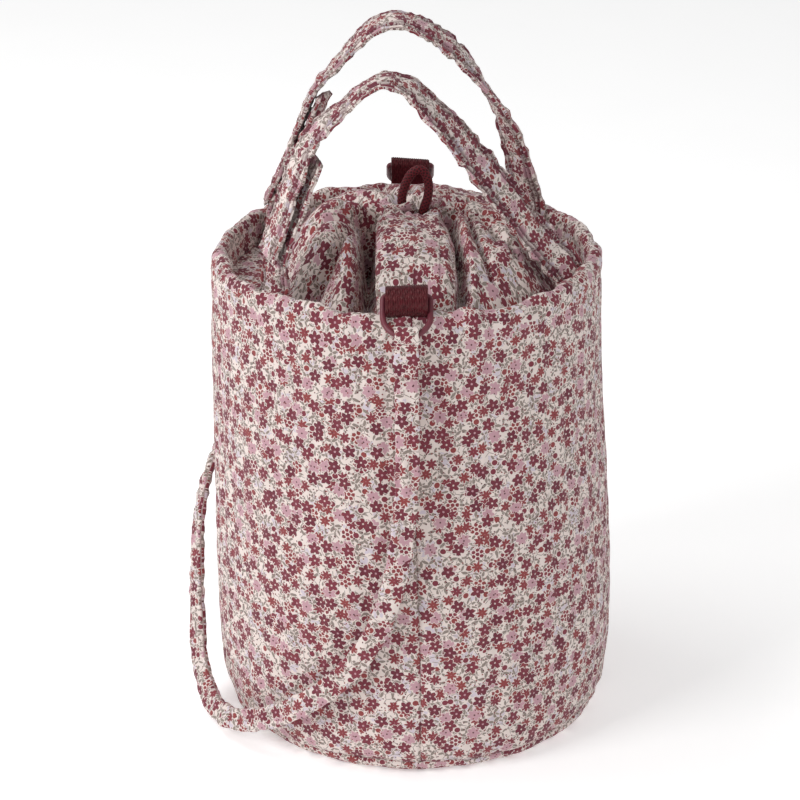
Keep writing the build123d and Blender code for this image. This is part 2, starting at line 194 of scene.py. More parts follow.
class Graph:
    """Short calls that add nodes to a material."""

    def __init__(self, name, roughness, sheen=0.0, coat=0.0, metallic=0.0, specular=0.5):
        self.material = bpy.data.materials.new(name)
        self.material.use_nodes = True
        self.tree = self.material.node_tree
        self.shader = self.tree.nodes["Principled BSDF"]
        for socket, value in (
            ("Roughness", roughness),
            ("Sheen Weight", sheen),
            ("Coat Weight", coat),
            ("Metallic", metallic),
            ("Specular IOR Level", specular),
        ):
            self.shader.inputs[socket].default_value = value

    def node(self, kind, **settings):
        made = self.tree.nodes.new(kind)
        for key, value in settings.items():
            setattr(made, key, value)
        return made

    def feed(self, socket, value):
        if isinstance(value, bpy.types.NodeSocket):
            self.tree.links.new(value, socket)
        else:
            socket.default_value = value

    def maths(self, operation, *values, clamp=False):
        made = self.node("ShaderNodeMath", operation=operation, use_clamp=clamp)
        for socket, value in zip(made.inputs, values):
            self.feed(socket, value)
        return made.outputs[0]

    def vector(self, operation, *values):
        made = self.node("ShaderNodeVectorMath", operation=operation)
        for socket, value in zip(made.inputs, values):
            self.feed(socket, value)
        return made.outputs["Value"] if operation in ("LENGTH", "DISTANCE") else made.outputs["Vector"]

    def mix(self, amount, low, high):
        made = self.node("ShaderNodeMix", data_type="RGBA")
        self.feed(made.inputs["Factor"], amount)
        self.feed(made.inputs[6], low)
        self.feed(made.inputs[7], high)
        return made.outputs[2]

    def between(self, value, low, high):
        """0 at low and 1 at high, whichever is larger."""
        made = self.node("ShaderNodeMapRange", clamp=True)
        self.feed(made.inputs["Value"], value)
        made.inputs["From Min"].default_value = low
        made.inputs["From Max"].default_value = high
        return made.outputs["Result"]

    def split(self, vector):
        made = self.node("ShaderNodeSeparateXYZ")
        self.feed(made.inputs[0], vector)
        return made.outputs["X"], made.outputs["Y"], made.outputs["Z"]

    def noise(self, vector, scale, detail=2.0):
        made = self.node("ShaderNodeTexNoise")
        self.feed(made.inputs["Vector"], vector)
        made.inputs["Scale"].default_value = scale
        made.inputs["Detail"].default_value = detail
        return made.outputs["Fac"]

    def base_colour(self, amount, low, high):
        self.feed(self.shader.inputs["Base Color"], self.mix(amount, low, high))

    def bump(self, height, distance):
        made = self.node("ShaderNodeBump")
        made.inputs["Distance"].default_value = distance
        made.inputs["Strength"].default_value = 1.0
        self.feed(made.inputs["Height"], height)
        self.feed(self.shader.inputs["Normal"], made.outputs["Normal"])

    def cloth_map(self):
        """The cloth's own coordinates in millimetres."""
        made = self.node("ShaderNodeUVMap", uv_map="cloth")
        return self.vector("MULTIPLY", made.outputs["UV"], (1.0 / MM,) * 3)

    def object_map(self):
        made = self.node("ShaderNodeTexCoord")
        return self.vector("MULTIPLY", made.outputs["Object"], (1.0 / MM,) * 3)

    def weave(self, place, pitch):
        """Over and under threads, as a height."""
        x, y, _ = self.split(place)
        across = self.maths("SINE", self.maths("MULTIPLY", x, FULL_TURN / pitch))
        along = self.maths("SINE", self.maths("MULTIPLY", y, FULL_TURN / pitch))
        return self.maths("MULTIPLY", across, along)


# ---- the printed cotton ----
CREAM = srgb(226, 212, 206)
PLUM = srgb(104, 36, 52)
WINE = srgb(124, 46, 60)
BRICK = srgb(142, 60, 60)
ROSE = srgb(190, 148, 157)
LILAC = srgb(204, 192, 202)
TAUPE = srgb(140, 126, 118)
# Dark ink of the print; the same colour is also the painted shade along stitched seams.
DARK_INK_AND_SEAM_SHADE = srgb(86, 40, 52)
SEAM_SHADE = 0.8        # how far painted shade darkens the cloth right in a seam
THREAD_PITCH = 0.55


class Print(Graph):
    """Small flowers, berries and leaves strewn over a cream ground."""

    def __init__(self, name):
        super().__init__(name, roughness=0.86, sheen=0.12)
        self.place = self.cloth_map()
        self.wobble = self.maths("MULTIPLY_ADD", self.noise(self.place, 0.9, 1.0), 0.5, 0.75)
        self.colour = CREAM

    def scatter(self, spacing, jitter, shift):
        """Motif places: offset from the nearest in millimetres, and its three random numbers."""
        scaled = self.vector("MULTIPLY_ADD", self.place, (1.0 / spacing,) * 3, (shift, 1.7 * shift, 0.0))
        cells = self.node("ShaderNodeTexVoronoi", voronoi_dimensions="2D", feature="F1")
        self.feed(cells.inputs["Vector"], scaled)
        cells.inputs["Scale"].default_value = 1.0
        cells.inputs["Randomness"].default_value = jitter
        offset = self.vector("SUBTRACT", scaled, cells.outputs["Position"])
        offset = self.vector("MULTIPLY", offset, (spacing,) * 3)
        return offset, self.split(cells.outputs["Color"])

    def petals(self, offset, turn, count, reach, length, width):
        """Below 1 inside any of count ellipses set round a motif's middle."""
        x, y, _ = self.split(offset)
        angle = self.maths("MULTIPLY_ADD", turn, FULL_TURN, self.maths("ARCTAN2", y, x))
        folded = self.maths("WRAP", angle, math.pi / count, -math.pi / count)
        radius = self.maths("MULTIPLY", self.vector("LENGTH", offset), self.wobble)
        outward = self.maths("MULTIPLY", radius, self.maths("COSINE", folded))
        along = self.maths("DIVIDE", self.maths("SUBTRACT", outward, reach), length)
        aside = self.maths("DIVIDE", self.maths("MULTIPLY", radius, self.maths("SINE", folded)), width)
        return self.maths("ADD", self.maths("POWER", along, 2.0), self.maths("POWER", aside, 2.0))

    def lay(self, value, colour, present=1.0, halo=1.0, edge=0.12):
        """Paint a motif where value is below 1, with a cream halo round it if halo is above 1."""
        if halo > 1.0:
            clear = self.maths("MULTIPLY", self.between(value, halo + edge, halo - edge), present)
            self.colour = self.mix(clear, self.colour, CREAM)
        inside = self.maths("MULTIPLY", self.between(value, 1.0 + edge, 1.0 - edge), present)
        self.colour = self.mix(inside, self.colour, colour)

    def dot(self, offset, radius, colour, present=1.0, halo=1.0):
        reach = self.maths("DIVIDE", self.vector("LENGTH", offset), radius)
        self.lay(self.maths("POWER", reach, 2.0), colour, present, halo)

    def some(self, number, share):
        """1 for that share of the motifs."""
        return self.maths("LESS_THAN", number, share)

    def finish(self):
        # Painted shade: the print is darkened towards the dark colour along stitched seams, standing in for
        # the shadow in their grooves.
        seam = self.node("ShaderNodeAttribute", attribute_name="seam").outputs["Fac"]
        self.colour = self.mix(self.maths("MULTIPLY", seam, SEAM_SHADE), self.colour, DARK_INK_AND_SEAM_SHADE)
        self.feed(self.shader.inputs["Base Color"], self.colour)
        threads = self.weave(self.place, THREAD_PITCH)
        fuzz = self.noise(self.place, 1.4, 3.0)
        self.bump(self.maths("MULTIPLY_ADD", threads, 0.35, fuzz), 0.12 * MM)
        return self.material


def print_cotton():
    cloth = Print("print_cotton")
    offset, (turn, pick, _) = cloth.scatter(21.0, 0.8, 3.3)
    cloth.lay(cloth.petals(offset, turn, 8, 3.9, 2.7, 1.35), LILAC, cloth.some(pick, 0.9))
    cloth.dot(offset, 0.7, DARK_INK_AND_SEAM_SHADE)
    for spacing, shift, share, shape in (
        (6.4, 8.1, 0.9, (2.2, 1.9, 0.75)),
        (5.8, 5.2, 0.8, (1.9, 2.2, 0.24)),
        (9.5, 2.6, 0.8, (2.6, 2.4, 1.0)),
    ):
        offset, (turn, pick, _) = cloth.scatter(spacing, 0.95, shift)
        cloth.lay(cloth.petals(offset, turn, 3, *shape), TAUPE, cloth.some(pick, share), halo=1.6)
    offset, (turn, pick, tone) = cloth.scatter(21.0, 0.7, 1.9)
    shade = cloth.mix(tone, BRICK, WINE)
    cloth.lay(cloth.petals(offset, turn, 6, 3.0, 1.25, 1.25), shade, cloth.some(pick, 0.85), halo=2.0)
    cloth.dot(offset, 1.25, shade, cloth.some(pick, 0.85))
    offset, (turn, pick, tone) = cloth.scatter(9.8, 0.9, 9.7)
    berry = cloth.mix(cloth.some(tone, 0.5), BRICK, WINE)
    cloth.dot(offset, 1.9, berry, cloth.some(pick, 0.62), halo=1.6)
    offset, (turn, pick, tone) = cloth.scatter(12.5, 0.9, 4.6)
    shade = cloth.mix(tone, BRICK, WINE)
    cloth.lay(cloth.petals(offset, turn, 7, 2.0, 1.9, 0.85), shade, cloth.some(pick, 0.8), halo=1.6)
    offset, (turn, pick, _) = cloth.scatter(17.0, 0.8, 6.4)
    present = cloth.some(pick, 0.58)
    cloth.lay(cloth.petals(offset, turn, 7, 2.5, 2.0, 1.3), ROSE, present, halo=1.5)
    cloth.dot(offset, 0.6, DARK_INK_AND_SEAM_SHADE, present)
    offset, (turn, pick, tone) = cloth.scatter(14.0, 0.85, 7.2)
    present = cloth.some(pick, 0.84)
    cloth.lay(cloth.petals(offset, turn, 5, 2.5, 2.0, 1.45), cloth.mix(tone, PLUM, WINE), present, halo=1.5)
    cloth.dot(offset, 0.65, ROSE, cloth.some(pick, 0.45))
    offset, (turn, pick, tone) = cloth.scatter(3.6, 1.0, 2.8)
    cloth.dot(offset, 0.5, cloth.mix(tone, DARK_INK_AND_SEAM_SHADE, BRICK), cloth.some(pick, 0.7))
    return cloth.finish()


# ---- the other materials ----
def lining_cotton():
    cloth = Graph("lining_cotton", roughness=0.9, sheen=0.1)
    place = cloth.object_map()
    cloth.base_colour(cloth.noise(place, 0.05), srgb(214, 202, 192), CREAM)
    cloth.bump(cloth.noise(place, 1.6, 3.0), 0.1 * MM)
    return cloth.material


WEBBING_SLANT = 0.2     # how far the threads lean, sideways for each millimetre along
WEBBING_THREADS = 6.0   # radians for each millimetre across


def burgundy_webbing():
    tape = Graph("burgundy_webbing", roughness=0.32, specular=0.4)
    place = tape.cloth_map()
    x, y, _ = tape.split(place)
    slant = tape.maths("MULTIPLY_ADD", y, WEBBING_SLANT, x)
    threads = tape.maths("SINE", tape.maths("MULTIPLY", slant, WEBBING_THREADS))
    worn = tape.noise(place, 0.35)
    tone = tape.maths("MULTIPLY_ADD", threads, 0.16, worn, clamp=True)
    tape.base_colour(tone, srgb(32, 4, 10), srgb(98, 28, 38))
    tape.shader.inputs["Specular Tint"].default_value = (1.0, 0.6, 0.55, 1.0)
    tape.bump(threads, 0.12 * MM)
    return tape.material


BRAID_ACROSS = 1.396    # how fast the braid's pattern repeats round the cord, radians for each millimetre
BRAID_ALONG = 1.3       # and along it


def burgundy_cord():
    cord = Graph("burgundy_cord", roughness=0.55, sheen=0.05, specular=0.3)
    place = cord.cloth_map()
    x, y, _ = cord.split(place)
    strands = []
    for slope in (BRAID_ALONG, -BRAID_ALONG):
        wave = cord.maths("MULTIPLY_ADD", x, BRAID_ACROSS, cord.maths("MULTIPLY", y, slope))
        strands.append(cord.maths("ABSOLUTE", cord.maths("SINE", wave)))
    braid = cord.maths("MAXIMUM", *strands)
    # Painted highlight and painted shade: the raised tops of the strands are made lighter and the gaps
    # between them nearly black, with random tone from the noise on top.
    raised = cord.maths("POWER", braid, 4.0)
    tone = cord.maths("MULTIPLY_ADD", cord.noise(place, 0.9), 0.3, raised, clamp=True)
    cord.base_colour(tone, srgb(10, 0, 4), srgb(106, 18, 30))
    cord.bump(braid, 0.3 * MM)
    return cord.material


def satin_burgundy():
    paint = Graph("satin_burgundy", roughness=0.4, coat=0.08, specular=0.35)
    place = paint.object_map()
    paint.base_colour(paint.noise(place, 0.25, 3.0), srgb(92, 36, 46), srgb(120, 54, 66))
    paint.bump(paint.noise(place, 1.2), 0.04 * MM)
    return paint.material


def snap_metal():
    metal = Graph("snap_metal", roughness=0.32, metallic=1.0)
    place = metal.object_map()
    scuffs = metal.noise(place, 2.5, 4.0)
    metal.base_colour(scuffs, srgb(150, 146, 140), srgb(205, 201, 194))
    metal.bump(scuffs, 0.03 * MM)
    return metal.material


def grey_board():
    board = Graph("grey_board", roughness=0.8)
    place = board.object_map()
    board.base_colour(board.noise(place, 0.4, 4.0), srgb(120, 116, 112), srgb(160, 156, 150))
    board.bump(board.noise(place, 2.0, 3.0), 0.08 * MM)
    return board.material


PRINT = print_cotton()
LINING = lining_cotton()
WEBBING = burgundy_webbing()
CORD = burgundy_cord()
SATIN = satin_burgundy()
METAL = snap_metal()
BOARD = grey_board()

# ---- camera ----
CAMERA_PLACE = (-0.007, -1.700, 0.957)
CAMERA_PITCH = 23.68    # degrees below level
CAMERA_LENS = 126.0


def make_camera():
    camera = bpy.data.cameras.new("camera")
    camera.lens = CAMERA_LENS
    camera.sensor_width = 36.0
    holder = bpy.data.objects.new("camera", camera)
    holder.location = CAMERA_PLACE
    holder.rotation_euler = (math.radians(90.0 - CAMERA_PITCH), 0.0, 0.0)
    bpy.context.scene.collection.objects.link(holder)
    bpy.context.scene.camera = holder


make_camera()


# ---- cords ----
STRAP_ROUTE = (
    (-0.003, -0.1368, 0.287),
    (-0.002, -0.1405, 0.247),
    (-0.003, -0.142, 0.203),
    (-0.008, -0.1425, 0.160),
    (-0.018, -0.1415, 0.119),
    (-0.038, -0.137, 0.083),
    (-0.066, -0.126, 0.053),
    (-0.097, -0.105, 0.028),
    (-0.124, -0.077, 0.013),
    (-0.138, -0.044, 0.015),
    (-0.1445, -0.018, 0.031),
    (-0.1455, -0.003, 0.060),
    (-0.1455, 0.006, 0.092),
    (-0.144, 0.020, 0.122),
    (-0.137, 0.044, 0.147),
    (-0.121, 0.073, 0.167),
    (-0.096, 0.103, 0.185),
    (-0.066, 0.1245, 0.201),
    (-0.036, 0.137, 0.218),
    (-0.014, 0.1405, 0.238),
    (-0.004, 0.1385, 0.262),
    (0.000, 0.1343, 0.286),
)
STRAP_WIDTH = 15.0
STRAP_THICK = 6.0
STRAP_STEP = 3.0        # between the rings of points that its skin goes through
STRAP_FACES = (         # how far the strap has turned from lying flat on the bag, at shares of its length
    (0.0, 0.0),
    (0.25, 0.0),
    (0.42, 20.0),
    (0.52, 32.0),
    (0.62, 30.0),
    (0.8, 10.0),
    (1.0, 0.0),
)
DRAWCORD_ROUTE = (
    (-0.00479, -0.01316, 0.300),
    (-0.00479, -0.01316, 0.330),
    (-0.0055, -0.0125, 0.350),
    (-0.0062, -0.0125, 0.360),
    (0.0002, -0.0125, 0.3762),
    (0.0092, -0.0130, 0.3772),
    (0.0122, -0.0155, 0.363),
    (0.0066, -0.0170, 0.3475),
    (0.00479, -0.01316, 0.330),
    (0.00479, -0.01316, 0.300),
)
DRAWCORD_RADIUS = 2.85
DRAWCORD_STEP = 0.9
DRAWCORD_AROUND = 32    # points round the drawcord
DRAWCORD_MAP = 13.5     # width of the braid's pattern for one way round
STRAND_TURNS = 3.0      # strands each way round the braid


def route_points(name, route):
    """Points along the smooth line that a route's control points make."""
    curve = bpy.data.curves.new(name, "CURVE")
    curve.dimensions = "3D"
    spline = curve.splines.new("NURBS")
    spline.points.add(len(route) - 1)
    for point, place in zip(spline.points, route):
        point.co = (*place, 1.0)
    spline.order_u = 3
    spline.use_endpoint_u = True
    spline.resolution_u = 12
    holder = bpy.data.objects.new(name, curve)
    mesh = bpy.data.meshes.new_from_object(holder)
    places = np.array([vertex.co[:] for vertex in mesh.vertices])
    bpy.data.objects.remove(holder)
    bpy.data.curves.remove(curve)
    bpy.data.meshes.remove(mesh)
    return places


def shoulder_strap(sewn_ends):
    """The soft strap down the front, round the left side and up the back."""
    path = even_points(route_points("strap_route", STRAP_ROUTE), STRAP_STEP * MM)
    centre = path / MM
    along = unit(np.gradient(centre, axis=0))
    outward = centre * (1.0, 1.0, 0.0)
    flat = unit(np.cross(along, outward))
    share = np.linspace(0.0, 1.0, len(centre))
    turn = np.radians(through(STRAP_FACES, share))[:, None]
    side = flat * np.cos(turn) + np.cross(along, flat) * np.sin(turn)
    piece = padded_band("shoulder_strap_band", centre, side, STRAP_WIDTH, STRAP_THICK, seed=41, rows=())
    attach(piece, "root")
    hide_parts("shoulder_strap")


# ---- padded straps ----
BAND_POINTS = 88        # points round a strap's section
STITCH_ROWS = (2.7, 5.8)    # rows of topstitching, from each edge
STITCH_DEPTH = 1.6
STITCH_SPREAD = 0.95    # half-width of the groove along a row
SEAM_WIDTH = 1.25       # half-width of the painted shade line in it
SCALLOP = 0.045         # how far stitching draws the edges in and out, as a share of the width
PUFF = 0.14             # how unevenly the band is filled along its length
BACK_SHIFT = 40.0       # the print on the back of a band starts this far on
SEED_SHIFT = 7.0        # and each band's print that far from the last one's


def padded_band(name, centre, side, width, thick, seed, rows=STITCH_ROWS, ends=2.0, start_v=0.0):
    """Soft strap along centre, stitched in rows. side is its width direction at each point."""
    along = unit(np.gradient(centre, axis=0))
    side = unit(side - along * np.sum(side * along, axis=1, keepdims=True))
    face = np.cross(along, side)
    length = run_along(centre)
    turn = all_round(BAND_POINTS)
    across = np.sign(np.cos(turn)) * np.abs(np.cos(turn)) ** 0.6
    above = np.sign(np.sin(turn)) * np.abs(np.sin(turn)) ** 0.45
    scallop = SCALLOP * ripples(seed, 9.0, length) + SCALLOP * ripples(seed + 3, 19.0, length)
    half_w = width / 2 * (1.0 + scallop[:, None])
    near_end = np.minimum(length, length[-1] - length)
    from_end = 1.0 - np.clip(near_end / ends, 0.0, 1.0)
    rounding = np.sqrt(np.clip(1.0 - from_end**2, 0.03, 1.0))[:, None]
    puff = 1.0 + PUFF * ripples(seed + 1, 11.0, length)[:, None]
    u = across * half_w * (0.75 + 0.25 * rounding)
    v = above * thick / 2 * puff * rounding
    v = v * (1.0 + 0.10 * ripples(seed + 2, 7.0, length[:, None], u * 1.3))
    v = v + 0.07 * thick * rounding * ripples(seed + 4, 6.0, 0.35 * length[:, None], u, v / thick)
    # How near each point is to a row of stitching, for painted shade along the grooves.
    stitched = np.zeros(v.shape)
    for row in rows:
        away = (width / 2 - np.abs(u)) - row
        v -= np.sign(v) * STITCH_DEPTH * rounding * hump(away, STITCH_SPREAD)
        stitched = np.maximum(stitched, hump(away, SEAM_WIDTH))
    rings = centre[:, None, :] + u[..., None] * side[:, None, :] + v[..., None] * face[:, None, :]
    drawn = np.append(across, across[0]) * width / 2
    flip = np.where(np.sin(np.append(turn, FULL_TURN)) < -1e-9, BACK_SHIFT, 0.0)
    uv = np.empty((len(centre), BAND_POINTS + 1, 2))
    uv[..., 0] = drawn + flip + SEED_SHIFT * seed
    uv[..., 1] = (length + start_v)[:, None]
    piece = loft(name, rings, uv, PRINT)
    mark_painted_seam_shade(piece, stitched)
    return piece


# ---- the quilted wall ----
WALL_PROFILE = (        # height and outer radius
    (8.0, 126.4),
    (16.0, 129.0),
    (30.0, 131.2),
    (50.0, 132.4),
    (95.0, 133.0),
    (150.0, 131.4),
    (220.0, 128.5),
    (290.0, 126.4),
    (316.0, 125.4),
)
WALL_FOOT_Z = 8.8
FOOT_TUCK = ((-1.3, 0.2), (-0.3, 0.0))     # the cover's lowest edge turns in under the seam
SHOULDER_Z = 313.5
CREST_Z = 320.8
WALL_THICK = 10.0
INSIDE_FOOT_Z = 299.0   # the cover's edge inside, under the collar's seam
PADDING_IN = 8.8        # hidden inner face of the padding
WALL_RADIUS = 130.0     # the print and the quilting are laid out at this radius
QUILT_ROWS = 50
QUILT_DEPTH = 0.75
SEAM_DEPTH = 1.1
SEAM_HALF_WIDTH = 0.8
RIM_SWAY = 0.9          # how far the rim rises and falls
SEAM_ANGLE = math.radians(-88.6)    # the front seam; the rear one is opposite
COLUMNS = 132           # columns of a quarter of the wall


def lean(z):
    """The soft wall leans to the right low down and to the left near the rim."""
    return 0.3 + 2.9 * np.cos(math.pi * np.clip((z - 40.0) / 240.0, 0.0, 1.0))


def wall_outline():
    """Closed section of the wall: radius, height and depth below the cover, going up the outside."""
    rise = np.linspace(WALL_FOOT_Z, SHOULDER_Z, 104)
    outside = np.column_stack([through(WALL_PROFILE, rise), rise])
    outside[:2] += FOOT_TUCK
    outer_r = outside[-1, 0]
    middle = outer_r - WALL_THICK / 2
    bend = np.linspace(0.0, math.pi, 17)[1:-1]
    crest = np.column_stack([
        middle + WALL_THICK / 2 * np.cos(bend),
        SHOULDER_Z + (CREST_Z - SHOULDER_Z) * np.sin(bend),
    ])
    fall = np.linspace(SHOULDER_Z, INSIDE_FOOT_Z, 9)
    inside = np.column_stack([np.full(9, outer_r - WALL_THICK), fall])
    back = np.linspace(INSIDE_FOOT_Z, WALL_FOOT_Z, 12)
    hidden = np.column_stack([through(WALL_PROFILE, back) - PADDING_IN, back])
    soft = np.concatenate([np.ones(len(outside) + len(crest) + len(inside)), np.zeros(len(hidden))])
    return np.concatenate([outside, crest, inside, hidden]), soft


def quilting(angle, x, y, z):
    """How far the cover stands in from its plain surface: rows of stitching and the puckers beside them."""
    row = (angle - SEAM_ANGLE) / FULL_TURN * QUILT_ROWS
    away = np.abs(row - np.round(row)) * FULL_TURN * WALL_RADIUS / QUILT_ROWS
    tight = 0.75 + 0.35 * ripples(5, 60.0, x, y, z)
    fade = ramp(z, 10.0, 34.0) * (1.0 - 0.75 * ramp(z, 285.0, 312.0))
    groove = QUILT_DEPTH * tight * hump(away, 1.7) * fade
    pucker = 0.30 * ripples(6, 9.0, x, y, 0.9 * z) * hump(away, 4.5)
    swell = 0.22 * np.cos(FULL_TURN * row)
    return groove + pucker + swell * fade


def crease(x, y, z):
    """Loose wrinkles of the cover, stronger where it turns over the rim and at the foot."""
    calm = 0.6 * ripples(7, 85.0, x, y, 0.6 * z) + 0.24 * ripples(8, 13.0, x, y, 0.5 * z)
    rim = ramp(z, 288.0, 312.0)
    foot = 1.0 - ramp(z, 12.0, 34.0)
    gathers = 0.65 * ripples(9, 8.0, x, y, 0.5 * z) + 0.9 * ripples(10, 20.0, x, y, 0.8 * z)
    return calm + gathers * (rim + 0.5 * foot)


def wall_panel(name, start, stop, seam_first):
    """A quarter of the wall from one angle to another, with its seam at the first or the last."""
    outline, soft = wall_outline()
    angle = np.linspace(start, stop, COLUMNS)[:, None]
    radius = np.tile(outline[:, 0], (COLUMNS, 1))
    height = np.tile(outline[:, 1], (COLUMNS, 1))
    x = radius * np.cos(angle)
    y = radius * np.sin(angle)
    inner = outline[:, 0] < through(WALL_PROFILE, outline[:, 1]) - WALL_THICK / 2
    outward = np.where(inner, -1.0, 1.0)[None, :]
    on_crest = (outline[:, 1] > SHOULDER_Z)[None, :]
    relief = crease(x, y, height) - quilting(angle, x, y, height) * np.where(inner, 0.0, 1.0)[None, :]
    from_seam = (angle - start if seam_first else stop - angle) * WALL_RADIUS
    seam_dip = SEAM_DEPTH * hump(from_seam, SEAM_HALF_WIDTH)
    relief = relief * soft[None, :] - seam_dip * soft[None, :]
    middle = through(WALL_PROFILE, outline[:, 1]) - WALL_THICK / 2
    tilt_r = np.where(on_crest, (radius - middle) / (WALL_THICK / 2), outward)
    tilt_z = np.where(on_crest, (height - SHOULDER_Z) / (CREST_Z - SHOULDER_Z), 0.0)
    radius = radius + relief * tilt_r
    height = height + relief * tilt_z + RIM_SWAY * ripples(11, 120.0, x, y) * ramp(height, 290.0, 320.0)
    rings = np.stack([radius * np.cos(angle) + lean(height), radius * np.sin(angle), height], axis=-1)
    run = run_along(outline)
    uv = np.empty((COLUMNS, len(outline) + 1, 2))
    uv[..., 0] = angle * WALL_RADIUS
    uv[..., 1] = np.append(run, run[-1] + 5.0)
    piece = loft(name, rings, uv, PRINT)
    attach(piece, "root")
    return piece


def quilted_wall():
    """Four panels from the front seam round to the right. Joints between seams lie half a row on."""
    replaced = {
        "front_right": ("outer_wall_right", "rim_padding_right"),
        "rear_right": (),
        "rear_left": ("rim_cover",),
        "front_left": ("outer_wall_left", "rim_padding_left"),
    }
    half_row = FULL_TURN / QUILT_ROWS / 2
    for number, (name, others) in enumerate(replaced.items()):
        seam_first = number % 2 == 0
        start = SEAM_ANGLE + number * FULL_TURN / 4 + (0.0 if seam_first else half_row)
        stop = SEAM_ANGLE + (number + 1) * FULL_TURN / 4 + (half_row if seam_first else 0.0)
        piece = wall_panel("quilted_wall_" + name, start, stop, seam_first)
        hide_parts("wall_padding_" + name, *others)


LINING_FOOT_Z = 12.0
LINING_TOP_Z = 300.0
LINING_GAP = 0.3        # between the lining and the padding
LINING_COLUMNS = 96
LINING_MAP_RADIUS = 117.0


def lining():
    """Plain lining inside the wall, leaning with it."""
    rise = np.linspace(LINING_FOOT_Z, LINING_TOP_Z, 25)
    outer = np.column_stack([through(WALL_PROFILE, rise) - PADDING_IN - LINING_GAP, rise])
    inner = np.column_stack([through(WALL_PROFILE, rise) - WALL_THICK, rise])[::-1]
    outline = np.concatenate([outer, inner])
    angle = all_round(LINING_COLUMNS)[:, None]
    x = outline[:, 0] * np.cos(angle)
    y = outline[:, 0] * np.sin(angle)
    relief = 0.35 * ripples(12, 40.0, x, y, outline[:, 1])
    shift = np.where(np.arange(len(outline)) < len(outer), 0.0, 1.0) * relief
    radius = outline[:, 0] - np.abs(shift)
    rings = np.stack([
        radius * np.cos(angle) + lean(outline[:, 1]),
        radius * np.sin(angle),
        np.tile(outline[:, 1], (LINING_COLUMNS, 1)),
    ], axis=-1)
    uv = np.empty((LINING_COLUMNS + 1, len(outline) + 1, 2))
    uv[..., 0] = np.linspace(0.0, FULL_TURN, LINING_COLUMNS + 1)[:, None] * LINING_MAP_RADIUS
    uv[..., 1] = np.append(outline[:, 1], LINING_FOOT_Z)
    piece = loft("lining_tube", rings, uv, LINING, closed=True)
    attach(piece, "root")
    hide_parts("lining_wall")


# ---- the base ----
BASE_UNDER = (          # radius and height from the middle of the underside out to the seam
    (0.0, 0.5), (40.0, 0.4), (80.0, 0.3), (108.0, 0.2), (117.0, 0.4),
    (121.6, 1.6), (124.6, 4.0), (126.0, 6.8), (125.6, 8.8), (124.0, 9.8),
)
BASE_FLAT_END = 3       # the point of it where the rounded edge begins
BASE_TOP = ((118.0, 9.4), (118.0, 8.2), (60.0, 8.2), (0.0, 8.2))
BASE_COLUMNS = 360
FLOOR_GAP = 0.05        # no point lies lower than this


def base():
    """Padded round base, a little crowned between the floor and its seam."""
    under = np.array(BASE_UNDER)
    spread = run_along(under)
    flat_end = spread[BASE_FLAT_END]
    fine = np.concatenate([np.linspace(0.0, flat_end, 24), np.linspace(flat_end, spread[-1], 26)[1:]])
    outline = np.column_stack([through(np.column_stack([spread, under[:, k]]), fine) for k in (0, 1)])
    outline = np.concatenate([outline, BASE_TOP])
    angle = all_round(BASE_COLUMNS)[None, :]
    radius = outline[:, 0][:, None]
    height = np.tile(outline[:, 1][:, None], (1, BASE_COLUMNS))
    x = radius * np.cos(angle)
    y = radius * np.sin(angle)
    edge = ramp(radius, 112.0, 124.0) * (np.arange(len(outline)) < len(fine))[:, None]
    relief = edge * (0.35 * ripples(21, 9.0, x, y) + 0.5 * ripples(22, 40.0, x, y))
    radius = radius + relief
    lifted = 0.25 * edge * (1.0 + ripples(23, 30.0, x, y)) * (radius > 119.0)
    height = np.maximum(height + lifted, FLOOR_GAP)
    rings = np.stack([radius * np.cos(angle) + lean(height), radius * np.sin(angle), height], axis=-1)
    run = run_along(outline)[:, None]
    wrapped = np.append(angle[0], FULL_TURN)[None, :]
    uv = np.stack([run * np.cos(wrapped), run * np.sin(wrapped)], axis=-1)
    piece = loft("padded_base", rings, uv, PRINT, caps=False)
    face_outward(piece.data, weld=0.01 * MM)
    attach(piece, "root")
    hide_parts("base_panel", "base_padding")


# ---- the gathered collar ----
GATHER_RADIUS = 15.0
COLLAR_RADIUS = 115.6   # at the seam inside the rim
COLLAR_PROFILE = (      # radius and height of the collar without its folds
    (GATHER_RADIUS, 345.5),
    (20.0, 346.0),
    (40.0, 345.5),
    (60.0, 341.5),
    (80.0, 332.0),
    (94.0, 320.5),
    (104.0, 309.5),
    (110.0, 302.0),
    (COLLAR_RADIUS, 298.5),
)
DROP_LEFT = 34.0        # how far down its own profile the dome is shifted at each side
DROP_RIGHT = 7.0
